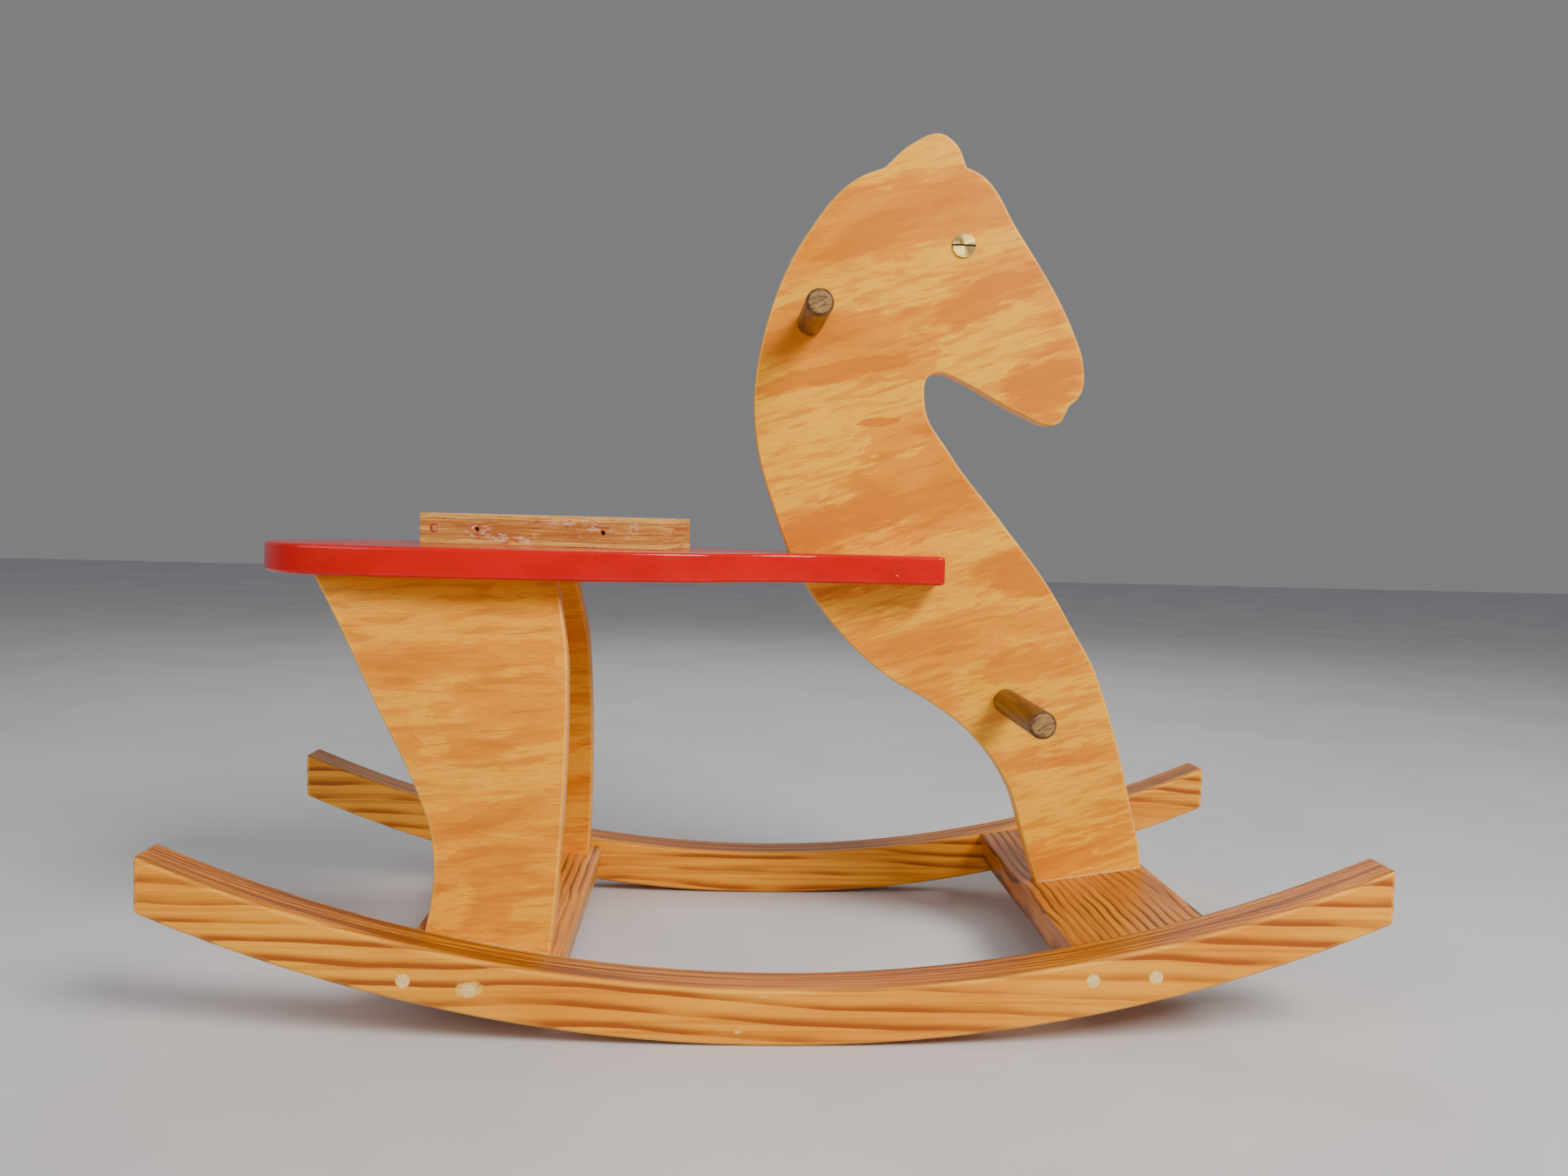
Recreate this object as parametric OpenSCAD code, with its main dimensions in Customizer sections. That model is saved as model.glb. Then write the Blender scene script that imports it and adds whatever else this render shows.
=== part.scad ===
// Wooden rocking horse: flat plywood head and legs, red forked seat, solid pine rockers.
// The horse looks along +X, +Z is up, and the origin is on the floor under its middle.

/* [Rockers] */
// Length of each rocker along the floor
rocker_l = 900; // [720:10:1100]
// Thickness of each rocker, side to side
rocker_w = 38; // [28:1:50]
// Depth of each rocker at its middle
rocker_h = 41.5; // [36:0.5:60]
// Radius of the curve that rolls on the floor
rocker_r = 1138; // [900:1:1500]
// Radius of the rocker's upper curve
rocker_top_r = 1143; // [850:1:1400]
// Clear space between the two rockers
rocker_gap = 334; // [260:2:420]

/* [Crossboards] */
// Thickness of both crossboards
board_t = 28; // [20:1:30]
// Slope of each crossboard, rising towards the rocker ends
board_tilt = 8.5; // [4:0.5:12]
// Width of the front crossboard along its slope
front_board_w = 110; // [104:1:150]
// Middle of the front crossboard, ahead of the origin
front_board_x = 277; // [250:1:300]
// Drop of the front crossboard's top below the rockers' upper curve
front_board_drop = 4.5; // [3:0.5:10]
// Width of the rear crossboard along its slope
rear_board_w = 113; // [108:1:150]
// Middle of the rear crossboard, behind the origin
rear_board_x = 214.5; // [190:0.5:240]
// Drop of the rear crossboard's top below the rockers' upper curve
rear_board_drop = 8.5; // [6:0.5:12]

/* [Seat] */
// Height of the seat's top above the floor
seat_h = 349; // [290:1:420]
// Thickness of the seat board
seat_t = 24; // [18:1:30]
// Rear end of the seat, behind the origin
seat_rear = 430; // [390:5:450]
// Half the seat's width at its widest place
seat_half_w = 108; // [95:1:130]
// Front end of the seat's fork, ahead of the origin
fork_end = 141; // [110:1:160]
// Width of each prong of the fork
prong_w = 33; // [24:1:45]
// Radius on the outer corner of each prong
prong_corner = 6; // [2:1:12]
// Gap between each prong and the head panel
fork_gap = 0; // [0:0.1:1]

/* [Head panel] */
// Thickness of the head panel
panel_t = 18; // [15:1:24]
// Height of the ear's tip above the floor
head_h = 706; // [600:2:850]
// Place of the handle dowel on the panel, ahead of the origin
handle_x = 24; // [5:1:60]
// Height of the handle dowel
handle_z = 544; // [520:1:600]
// Place of the footrest dowel on the panel, ahead of the origin
footrest_x = 203; // [190:1:230]
// Height of the footrest dowel
footrest_z = 224; // [190:1:240]
// Place of the eye on the panel, ahead of the origin
eye_x = 153; // [120:1:170]
// Height of the eye
eye_z = 613; // [590:1:640]

/* [Dowels and eye] */
// Diameter of both dowels
dowel_d = 22; // [16:0.5:28]
// Free length of the handle on each side of the panel
handle_reach = 106; // [80:1:130]
// Free length of the footrest on each side of the panel
footrest_reach = 128; // [90:1:150]
// Chamfer on the dowels' ends
dowel_chamfer = 2.5; // [0.5:0.5:5]
// Diameter of the eye's brass heads
eye_d = 20; // [14:0.5:26]
// Thickness of the eye's brass heads at the rim
eye_rim = 1.8; // [1:0.1:3]
// Rise of the eye's domed face
eye_dome = 0.9; // [0.3:0.1:2]
// Outer diameter of the eye's sleeve nut
eye_sleeve_d = 9; // [8:0.5:12]
// Diameter of the eye bolt's shank
eye_bolt_d = 6; // [4:0.5:7]

/* [Legs] */
// Thickness of the two leg panels
leg_t = 18; // [15:1:24]
// Outer face of each leg from the middle, under the seat
leg_top_y = 76; // [60:1:90]
// Outer face of each leg from the middle, on the rear crossboard
leg_foot_y = 147; // [120:1:150]

/* [Loose block] */
// Length of the block that lies on the seat
block_l = 217; // [150:1:240]
// Depth of the block
block_w = 86; // [70:1:120]
// Thickness of the block
block_t = 26; // [18:0.5:32]
// Middle of the block, behind the origin
block_x = 191; // [150:1:220]
// Middle of the block, towards the horse's left
block_y = 30; // [0:1:40]
// Turn of the block on the seat, seen from above
block_turn = -15; // [-30:1:30]
// Diameter of the screw holes in the block's edge
block_hole_d = 4.5; // [3:0.5:7]
// Depth of the screw holes in the block's edge
block_hole_deep = 40; // [20:1:60]

/* [Screws] */
// Diameter of the wood screws' shanks
screw_d = 4; // [3:0.5:5]
// Diameter of the wood screws' heads
screw_head_d = 8; // [6:0.5:10]
// Height of the countersunk head
screw_head_h = 2.6; // [2:0.1:4]
// Depth of the screws in the piece that they hold
screw_bite = 32; // [20:1:45]
// Diameter of the filler plugs in the rockers
plug_d = 10; // [8.5:0.5:14]
// Depth of the filler plugs in the rockers
plug_deep = 6; // [4:1:12]
// Depth of the painted filler over the seat's screws
filler_deep = 4; // [2:0.5:6]
// Distance of the rocker screws from each crossboard's rear edge
board_screw_inset = 6; // [5:0.5:30]
// Spacing of the rocker screws in each crossboard
board_screw_pitch = 46; // [30:1:60]
// Drop of the front crossboard's foremost screws below the middle of its thickness
front_screw_drop = 4; // [0:0.5:6]

/* [Hidden] */

$fn = 64;
curve_steps = 10;
over = 1;
far = 400;

pine = [0.86, 0.62, 0.30];
ply = [0.93, 0.68, 0.28];
raw_ply = [0.78, 0.62, 0.42];
lacquer = [0.80, 0.04, 0.05];
walnut = [0.40, 0.26, 0.16];
filler = [0.93, 0.80, 0.55];
brass = [0.78, 0.62, 0.28];
steel = [0.70, 0.70, 0.72];

// Heights and angles that several pieces share
seat_under = seat_h - seat_t;
rocker_out = rocker_gap / 2 + rocker_w;
function top_curve(x) = rocker_h + rocker_top_r - sqrt(rocker_top_r * rocker_top_r - x * x);
front_board_z = top_curve(front_board_x) - front_board_drop;
rear_board_z = top_curve(rear_board_x) - rear_board_drop;
function front_top(x) = front_board_z + (x - front_board_x) * tan(board_tilt);
function rear_top(x) = rear_board_z - (x + rear_board_x) * tan(board_tilt);
leg_drop = seat_under - rear_board_z;
splay = atan((leg_foot_y - leg_top_y) / leg_drop);

// A smooth curve through a few knots: a cubic between each two, with shared tangents
function unit(v) = v / norm(v);
function tangent(p, i) =
    let (last = len(p) - 1)
    i == 0 ? unit(p[1] - p[0]) :
    i == last ? unit(p[last] - p[last - 1]) :
    let (a = norm(p[i] - p[i - 1]), b = norm(p[i + 1] - p[i]))
    unit((p[i + 1] - p[i]) * a / b + (p[i] - p[i - 1]) * b / a);
function cubic(a, b, ta, tb, t) =
    let (c = norm(b - a))
    (2 * pow(t, 3) - 3 * t * t + 1) * a + (pow(t, 3) - 2 * t * t + t) * c * ta
    + (3 * t * t - 2 * pow(t, 3)) * b + (pow(t, 3) - t * t) * c * tb;
function curve(p) = [
    for (i = [0 : len(p) - 2], k = [0 : curve_steps - 1])
        cubic(p[i], p[i + 1], tangent(p, i), tangent(p, i + 1), k / curve_steps)
];

// Outline of the head panel, as stretches that meet at the corners of ear, mouth and foot
base_head_h = 706;
head_rise = head_h / base_head_h;
function on_panel(points) = [for (p = points) [p[0], p[1] * head_rise]];
foot_rear_x = 235;
foot_front_x = 328.5;
function foot(x) = [x, front_top(x)];
function beyond(a, b) = b + (b - a) / 2;
nape = [[222.5, 103.5], [208, 148], [170, 198], [137, 222], [97, 245], [17, 337], [-5, 392],
        [-16, 427], [-22, 470], [-12, 546], [19, 618], [64, 668], [83.5, 676]];
ear = [[83.5, 676], [106, 696.5], [131, 706], [144, 698], [153.5, 679]];
face = [[153.5, 679], [165.5, 673.5], [199, 628], [251.5, 541], [258.5, 523], [256.5, 487],
        [249.5, 480.5]];
jaw = [[249.5, 480.5], [239, 464.5], [230, 463.5], [211, 470.5], [152, 500], [144, 503.5],
       [128, 503], [124, 478], [147, 437], [194, 379], [238, 323], [260, 287], [278, 257], [292, 221],
       [324.5, 104.5]];
jaw_end = on_panel(jaw)[len(jaw) - 1];
panel_rim = concat(
    [beyond(on_panel(nape)[0], foot(foot_rear_x))],
    curve(on_panel(nape)), curve(on_panel(ear)), curve(on_panel(face)), curve(on_panel(jaw)),
    [jaw_end, beyond(jaw_end, foot(foot_front_x))]);

// The slot in the seat ends where the nape crosses the seat, at its rearmost
nape_at = [for (p = curve(on_panel(nape))) [p[1], p[0]]];
slot_end = min(lookup(seat_h, nape_at), lookup(seat_under, nape_at)) - fork_gap;

// Outline of one leg: along the horse, and up from the crossboard as a share of the leg's height
leg_front = [[-170, -0.08], [-166.5, 0.10], [-164.8, 0.25], [-164.8, 0.68], [-166.5, 0.79],
             [-171, 0.89], [-177, 1], [-181, 1.06]];
leg_rear = [[-377, 1.06], [-368, 1], [-346.5, 0.865], [-325.5, 0.725], [-307, 0.602],
            [-288.5, 0.487], [-274.5, 0.386], [-265, 0.302], [-260.5, 0.223], [-259.5, 0.16],
            [-260.5, 0.097], [-263.5, 0.03], [-268, -0.08]];
function on_leg(points) = [for (p = points) [p[0], (p[1] - 1) * leg_drop / cos(splay)]];
leg_rim = concat(curve(on_leg(leg_front)), curve(on_leg(leg_rear)),
                 [on_leg(leg_rear)[len(leg_rear) - 1]]);

// Half of the seat's outline: from the rear end, along the side, to the prong
prong_y = panel_t / 2 + fork_gap + prong_w;
prong_start = 48;
seat_side = [[-seat_rear, 0], [12 - seat_rear, 40], [42 - seat_rear, seat_half_w - 27],
             [90 - seat_rear, seat_half_w - 8], [-280, seat_half_w - 1], [-200, seat_half_w],
             [-135, seat_half_w - 6], [-85, seat_half_w - 17], [-60, seat_half_w - 25],
             [-30, prong_y + 22], [0, prong_y + 9], [28, prong_y + 1.5], [prong_start, prong_y]];
seat_half = concat(curve(seat_side),
                   [[prong_start, prong_y], [fork_end - prong_corner, prong_y]],
                   [for (a = [75 : -15 : 0])
                       [fork_end - prong_corner * (1 - cos(a)), prong_y - prong_corner * (1 - sin(a))]]);
seat_rim = concat(seat_half, [for (k = [len(seat_half) - 1 : -1 : 1]) [seat_half[k][0], -seat_half[k][1]]]);

// Details of the screws: their tips, the cross recess, and the filler over them
screw_tip_d = 0.4;
recess_w = 1;
recess_deep = 1.6;
seam = 0.001;
filler_d = screw_head_d + 2;

// A countersunk wood screw that points down from its head, and the hole that it leaves
module screw_form(length) {
    mirror([0, 0, 1]) {
        cylinder(h = screw_head_h, d1 = screw_head_d, d2 = screw_d);
        translate([0, 0, screw_head_h])
            cylinder(h = length - screw_head_h - screw_d, d = screw_d);
        translate([0, 0, length - screw_d])
            cylinder(h = screw_d, d1 = screw_d, d2 = screw_tip_d);
    }
}

module screw(length) {
    recess = screw_head_d * 0.5;
    color(steel)
    difference() {
        screw_form(length);
        for (turn = [0, 90])
            rotate([0, 0, turn]) translate([-recess / 2, -recess_w / 2, -recess_deep])
                cube([recess, recess_w, 2 * recess_deep]);
    }
}

module screw_hole(length, access) {
    union() {
        screw_form(length);
        translate([0, 0, -seam]) cylinder(h = access, d = screw_head_d);
    }
}

// Places where the screws go: each carries its children to the outer face of the first piece
board_screws = [
    for (board = [[front_board_x, front_board_w, front_screw_drop],
                  [-rear_board_x, rear_board_w, 0]], k = [0, 1])
        let (edge = board[0] - board[1] / 2 * cos(board_tilt),
             x = edge + board_screw_inset + k * board_screw_pitch,
             top = x > 0 ? front_top(x) : rear_top(x))
        [x, top - board_t / 2 / cos(board_tilt) - k * board[2]]
];

module at_rocker_screws(side) {
    for (p = board_screws)
        translate([p[0], side * rocker_out, p[1]]) rotate([-90 * side, 0, 0]) children();
}

module at_neck_foot_screws() {
    for (x = [foot_rear_x + 24, foot_front_x - 22])
        translate([x, 0, front_top(x)]) rotate([0, -board_tilt, 0])
            translate([0, 0, -board_t]) rotate([180, 0, 0]) children();
}

leg_screw_top_x = [-345, -200];
leg_screw_foot_x = [-242, -186];
leg_mid = leg_t / 2;

module leg_frame() {
    translate([0, -leg_top_y, seat_under]) rotate([-splay, 0, 0]) children();
}

module at_leg_top_screws() {
    rise = (seat_t - filler_deep) / cos(splay);
    for (x = leg_screw_top_x)
        leg_frame() translate([x, leg_mid, rise]) children();
}

foot_sink = 3;
module at_leg_foot_screws() {
    for (x = leg_screw_foot_x) {
        height = (rear_top(x) - seat_under + leg_mid * sin(splay)) / cos(splay);
        below = board_t / cos(board_tilt) / cos(splay) - foot_sink;
        leg_frame() translate([x, leg_mid, height - below]) rotate([180, 0, 0]) children();
    }
}

fork_screw_x = 102;
module at_fork_screws(side) {
    translate([fork_screw_x, side * (prong_y - filler_deep), seat_h - seat_t / 2])
        rotate([-90 * side, 0, 0]) children();
}

module both_sides() {
    children();
    mirror([0, 1, 0]) children();
}

rocker_screw_l = rocker_w - plug_deep + screw_bite;
leg_top_screw_l = (seat_t - filler_deep) / cos(splay) + screw_bite;
leg_foot_screw_l = board_t / cos(board_tilt) / cos(splay) - foot_sink + screw_bite;
neck_foot_screw_l = board_t + screw_bite;
fork_screw_l = prong_w - filler_deep + fork_gap + panel_t * 0.4;

// A rocker from the side: two arcs about centres above the middle, cut square at the ends
module rocker_outline() {
    difference() {
        intersection() {
            translate([0, rocker_r]) circle(r = rocker_r, $fn = 720);
            translate([-rocker_l / 2, 0]) square([rocker_l, rocker_r / 2]);
        }
        translate([0, rocker_h + rocker_top_r]) circle(r = rocker_top_r, $fn = 720);
    }
}

// One rocker, on the side that is given: -1 is the horse's right, 1 its left
module rocker(side) {
    color(pine)
    difference() {
        translate([0, side > 0 ? rocker_out : -rocker_gap / 2, 0])
            rotate([90, 0, 0]) linear_extrude(rocker_w) rocker_outline();
        at_rocker_screws(side) {
            translate([0, 0, -plug_deep]) screw_hole(rocker_screw_l, over);
            translate([0, 0, -plug_deep]) cylinder(h = plug_deep + over, d = plug_d);
        }
    }
}

module rocker_right() { rocker(-1); }

module rocker_left() { rocker(1); }

module board_blank(width) {
    translate([-width / 2, -rocker_gap / 2, -board_t]) cube([width, rocker_gap, board_t]);
}

module front_crossboard() {
    color(pine)
    difference() {
        translate([front_board_x, 0, front_board_z]) rotate([0, -board_tilt, 0])
            board_blank(front_board_w);
        for (side = [-1, 1])
            at_rocker_screws(side) translate([0, 0, -plug_deep]) screw_hole(rocker_screw_l, over);
        at_neck_foot_screws() screw_hole(neck_foot_screw_l, over);
    }
}

module rear_crossboard() {
    color(pine)
    difference() {
        translate([-rear_board_x, 0, rear_board_z]) rotate([0, board_tilt, 0])
            board_blank(rear_board_w);
        for (side = [-1, 1])
            at_rocker_screws(side) translate([0, 0, -plug_deep]) screw_hole(rocker_screw_l, over);
        both_sides() at_leg_foot_screws() screw_hole(leg_foot_screw_l, 3 * foot_sink);
    }
}

module rocker_screws() {
    for (side = [-1, 1])
        at_rocker_screws(side) translate([0, 0, -plug_deep]) screw(rocker_screw_l);
}

module rocker_plugs() {
    color(filler)
    for (side = [-1, 1])
        at_rocker_screws(side) translate([0, 0, -plug_deep]) cylinder(h = plug_deep, d = plug_d);
}

// The dowels' and the eye's bores run across the panel
module across(x, z) {
    translate([x, 0, z]) rotate([90, 0, 0]) children();
}

module head_panel() {
    color(ply)
    difference() {
        translate([0, panel_t / 2, 0]) rotate([90, 0, 0]) linear_extrude(panel_t)
            polygon(panel_rim);
        translate([front_board_x, 0, front_board_z]) rotate([0, -board_tilt, 0])
            translate([-far / 2, -far / 2, -far]) cube([far, far, far]);
        across(handle_x, handle_z) cylinder(h = 2 * panel_t, d = dowel_d, center = true);
        across(footrest_x, footrest_z) cylinder(h = 2 * panel_t, d = dowel_d, center = true);
        across(eye_x, eye_z) cylinder(h = 2 * panel_t, d = eye_sleeve_d, center = true);
        at_neck_foot_screws() screw_hole(neck_foot_screw_l, over);
        for (side = [-1, 1])
            at_fork_screws(side) screw_hole(fork_screw_l, over);
    }
}

module neck_foot_screws() {
    at_neck_foot_screws() screw(neck_foot_screw_l);
}

// One leg, splayed outwards towards the rocker and trimmed by the seat and the crossboard
module leg() {
    color(ply)
    difference() {
        leg_frame() translate([0, leg_t, 0]) rotate([90, 0, 0]) linear_extrude(leg_t)
            polygon(leg_rim);
        translate([-rear_board_x - far, -far, seat_under]) cube([2 * far, 2 * far, far]);
        translate([-rear_board_x, 0, rear_board_z]) rotate([0, board_tilt, 0])
            translate([-far / 2, -far, -far]) cube([far, 2 * far, far]);
        at_leg_top_screws() screw_hole(leg_top_screw_l, over);
        at_leg_foot_screws() screw_hole(leg_foot_screw_l, over);
    }
}

module leg_right() { leg(); }

module leg_left() { mirror([0, 1, 0]) leg(); }

module leg_foot_screws() {
    both_sides() at_leg_foot_screws() screw(leg_foot_screw_l);
}

module seat_slab() {
    translate([0, 0, seat_under]) linear_extrude(seat_t)
    difference() {
        polygon(seat_rim);
        translate([slot_end, -panel_t / 2 - fork_gap])
            square([fork_end - slot_end + over, panel_t + 2 * fork_gap]);
    }
}

module seat_board() {
    color(lacquer)
    difference() {
        seat_slab();
        both_sides() at_leg_top_screws() {
            screw_hole(leg_top_screw_l, over);
            cylinder(h = 2 * filler_deep, d = filler_d);
        }
        for (side = [-1, 1])
            at_fork_screws(side) {
                screw_hole(fork_screw_l, over);
                cylinder(h = filler_deep + over, d = filler_d);
            }
    }
}

module seat_leg_screws() {
    both_sides() at_leg_top_screws() screw(leg_top_screw_l);
}

module seat_leg_fillers() {
    color(lacquer)
    intersection() {
        both_sides() at_leg_top_screws() cylinder(h = 2 * filler_deep, d = filler_d);
        translate([-far - seat_rear / 2, -far, seat_under]) cube([2 * far, 2 * far, seat_t]);
    }
}

module fork_screws() {
    for (side = [-1, 1])
        at_fork_screws(side) screw(fork_screw_l);
}

module fork_fillers() {
    color(lacquer)
    for (side = [-1, 1])
        at_fork_screws(side) cylinder(h = filler_deep, d = filler_d);
}

// A dowel with chamfered ends, lying across the panel
module dowel(reach) {
    length = panel_t + 2 * reach;
    straight = length - 2 * dowel_chamfer;
    cylinder(h = straight, d = dowel_d, center = true);
    for (end = [0, 1])
        mirror([0, 0, end]) translate([0, 0, straight / 2])
            cylinder(h = dowel_chamfer, d1 = dowel_d, d2 = dowel_d - 2 * dowel_chamfer);
}

module handle_dowel() {
    color(walnut) across(handle_x, handle_z) dowel(handle_reach);
}

module footrest_dowel() {
    color(walnut) across(footrest_x, footrest_z) dowel(footrest_reach);
}

// The brass disc that both halves of the eye share: domed, with a screwdriver slot
module eye_head() {
    dome_r = (pow(eye_d / 2, 2) + pow(eye_dome, 2)) / (2 * eye_dome);
    slot_w = 1.6;
    slot_deep = 0.4;
    difference() {
        union() {
            cylinder(h = eye_rim, d = eye_d);
            intersection() {
                translate([0, 0, eye_rim + eye_dome - dome_r]) sphere(r = dome_r, $fn = 96);
                translate([0, 0, eye_rim]) cylinder(h = eye_dome + over, d = eye_d);
            }
        }
        translate([-eye_d, -slot_w / 2, eye_rim - slot_deep]) cube([2 * eye_d, slot_w, eye_rim]);
    }
}

eye_bolt_l = panel_t - 3;
module eye_bolt() {
    color(brass)
    across(eye_x, eye_z) translate([0, 0, panel_t / 2]) {
        eye_head();
        translate([0, 0, -eye_bolt_l]) cylinder(h = eye_bolt_l + over, d = eye_bolt_d);
    }
}

module eye_nut() {
    color(brass)
    across(eye_x, eye_z) mirror([0, 0, 1]) translate([0, 0, panel_t / 2])
    difference() {
        union() {
            eye_head();
            translate([0, 0, -panel_t]) cylinder(h = panel_t + over, d = eye_sleeve_d);
        }
        translate([0, 0, -panel_t - over])
            cylinder(h = eye_bolt_l + over, d = eye_bolt_d);
    }
}

// The loose block, with old screw holes in the long edge that faces the horse's right
module block_frame() {
    translate([-block_x, block_y, seat_h]) rotate([0, 0, block_turn]) children();
}

block_hole_x = [-55.5, 58];
block_plug_x = -95;
module at_block_hole(x) {
    translate([x, -block_w / 2, block_t / 2]) rotate([90, 0, 0]) children();
}

module seat_block() {
    color(raw_ply)
    block_frame()
    difference() {
        translate([-block_l / 2, -block_w / 2, 0]) cube([block_l, block_w, block_t]);
        for (x = block_hole_x)
            at_block_hole(x) translate([0, 0, -block_hole_deep])
                cylinder(h = block_hole_deep + over, d = block_hole_d);
        at_block_hole(block_plug_x) translate([0, 0, -plug_deep])
            cylinder(h = plug_deep + over, d = screw_head_d);
    }
}

module block_plug() {
    color(lacquer)
    block_frame() at_block_hole(block_plug_x) translate([0, 0, -plug_deep])
        cylinder(h = plug_deep, d = screw_head_d);
}

rocker_right();
rocker_left();
front_crossboard();
rear_crossboard();
rocker_screws();
rocker_plugs();
head_panel();
neck_foot_screws();
leg_right();
leg_left();
leg_foot_screws();
seat_board();
seat_leg_screws();
seat_leg_fillers();
fork_screws();
fork_fillers();
handle_dowel();
footrest_dowel();
eye_bolt();
eye_nut();
seat_block();
block_plug();
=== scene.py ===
"""A wooden rocking horse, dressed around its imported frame: rounded timber, figured veneer, red lacquer."""
import logging
import math
import random
from dataclasses import dataclass, field
from enum import Enum
from functools import lru_cache
from typing import Callable

import bmesh
import bpy
from mathutils import Matrix, Vector


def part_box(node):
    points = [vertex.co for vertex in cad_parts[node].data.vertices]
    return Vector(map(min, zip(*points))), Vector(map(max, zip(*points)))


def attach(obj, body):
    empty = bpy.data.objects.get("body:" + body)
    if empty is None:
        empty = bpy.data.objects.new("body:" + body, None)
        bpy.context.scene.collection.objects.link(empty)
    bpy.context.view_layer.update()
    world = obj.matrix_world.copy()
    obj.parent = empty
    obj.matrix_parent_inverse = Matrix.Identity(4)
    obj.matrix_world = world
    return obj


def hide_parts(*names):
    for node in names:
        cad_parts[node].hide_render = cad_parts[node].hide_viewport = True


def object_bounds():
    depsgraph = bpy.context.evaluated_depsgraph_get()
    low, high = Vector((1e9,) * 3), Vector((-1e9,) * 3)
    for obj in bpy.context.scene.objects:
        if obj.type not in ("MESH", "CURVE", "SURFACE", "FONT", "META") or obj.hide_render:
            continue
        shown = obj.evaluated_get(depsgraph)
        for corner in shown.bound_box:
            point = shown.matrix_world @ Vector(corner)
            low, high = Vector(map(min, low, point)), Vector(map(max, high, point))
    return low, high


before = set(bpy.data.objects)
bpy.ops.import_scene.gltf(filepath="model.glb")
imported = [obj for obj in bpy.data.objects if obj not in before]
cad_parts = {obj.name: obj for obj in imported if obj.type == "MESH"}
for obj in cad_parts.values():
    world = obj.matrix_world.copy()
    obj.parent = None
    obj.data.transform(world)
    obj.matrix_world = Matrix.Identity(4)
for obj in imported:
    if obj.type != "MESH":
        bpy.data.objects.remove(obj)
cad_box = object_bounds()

LOG = logging.getLogger("rocking_horse")
MM = 0.001
HORSE = "horse"
BLOCK = "block"
# Face attribute on the bevelled edges; the materials lighten these faces as painted highlight, partly also
# as wear.
ROUNDED_EDGE = "rounded_edge"
VARNISH = 1.55
COAT_ROUGHNESS = 0.16
BARE_WOOD = 1.25
MERGE_WITHIN = 0.01 * MM
FLAT_WITHIN = math.radians(0.06)

Socket = bpy.types.NodeSocket
Value = float | Socket
Colour = tuple[float, float, float]
Triple = tuple[float, float, float]
Pair = tuple[float, float]


def tint(red: int, green: int, blue: int) -> Colour:
    """Turn a paint chart's colour into the linear light that the shader wants.

    Args:
        red: Red, from 0 to 255.
        green: Green, from 0 to 255.
        blue: Blue, from 0 to 255.

    Returns:
        The three linear values.
    """
    def linear(step: int) -> float:
        """One channel, from chart step to light."""
        share = step / 255
        return share / 12.92 if share <= 0.04045 else ((share + 0.055) / 1.055) ** 2.4
    return linear(red), linear(green), linear(blue)


class Run(Enum):
    """The way that the grain runs in a piece of timber."""

    LENGTHWISE = 0
    CROSSWISE = 1


# --- Laying out materials -----------------------------------------------------------------


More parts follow.
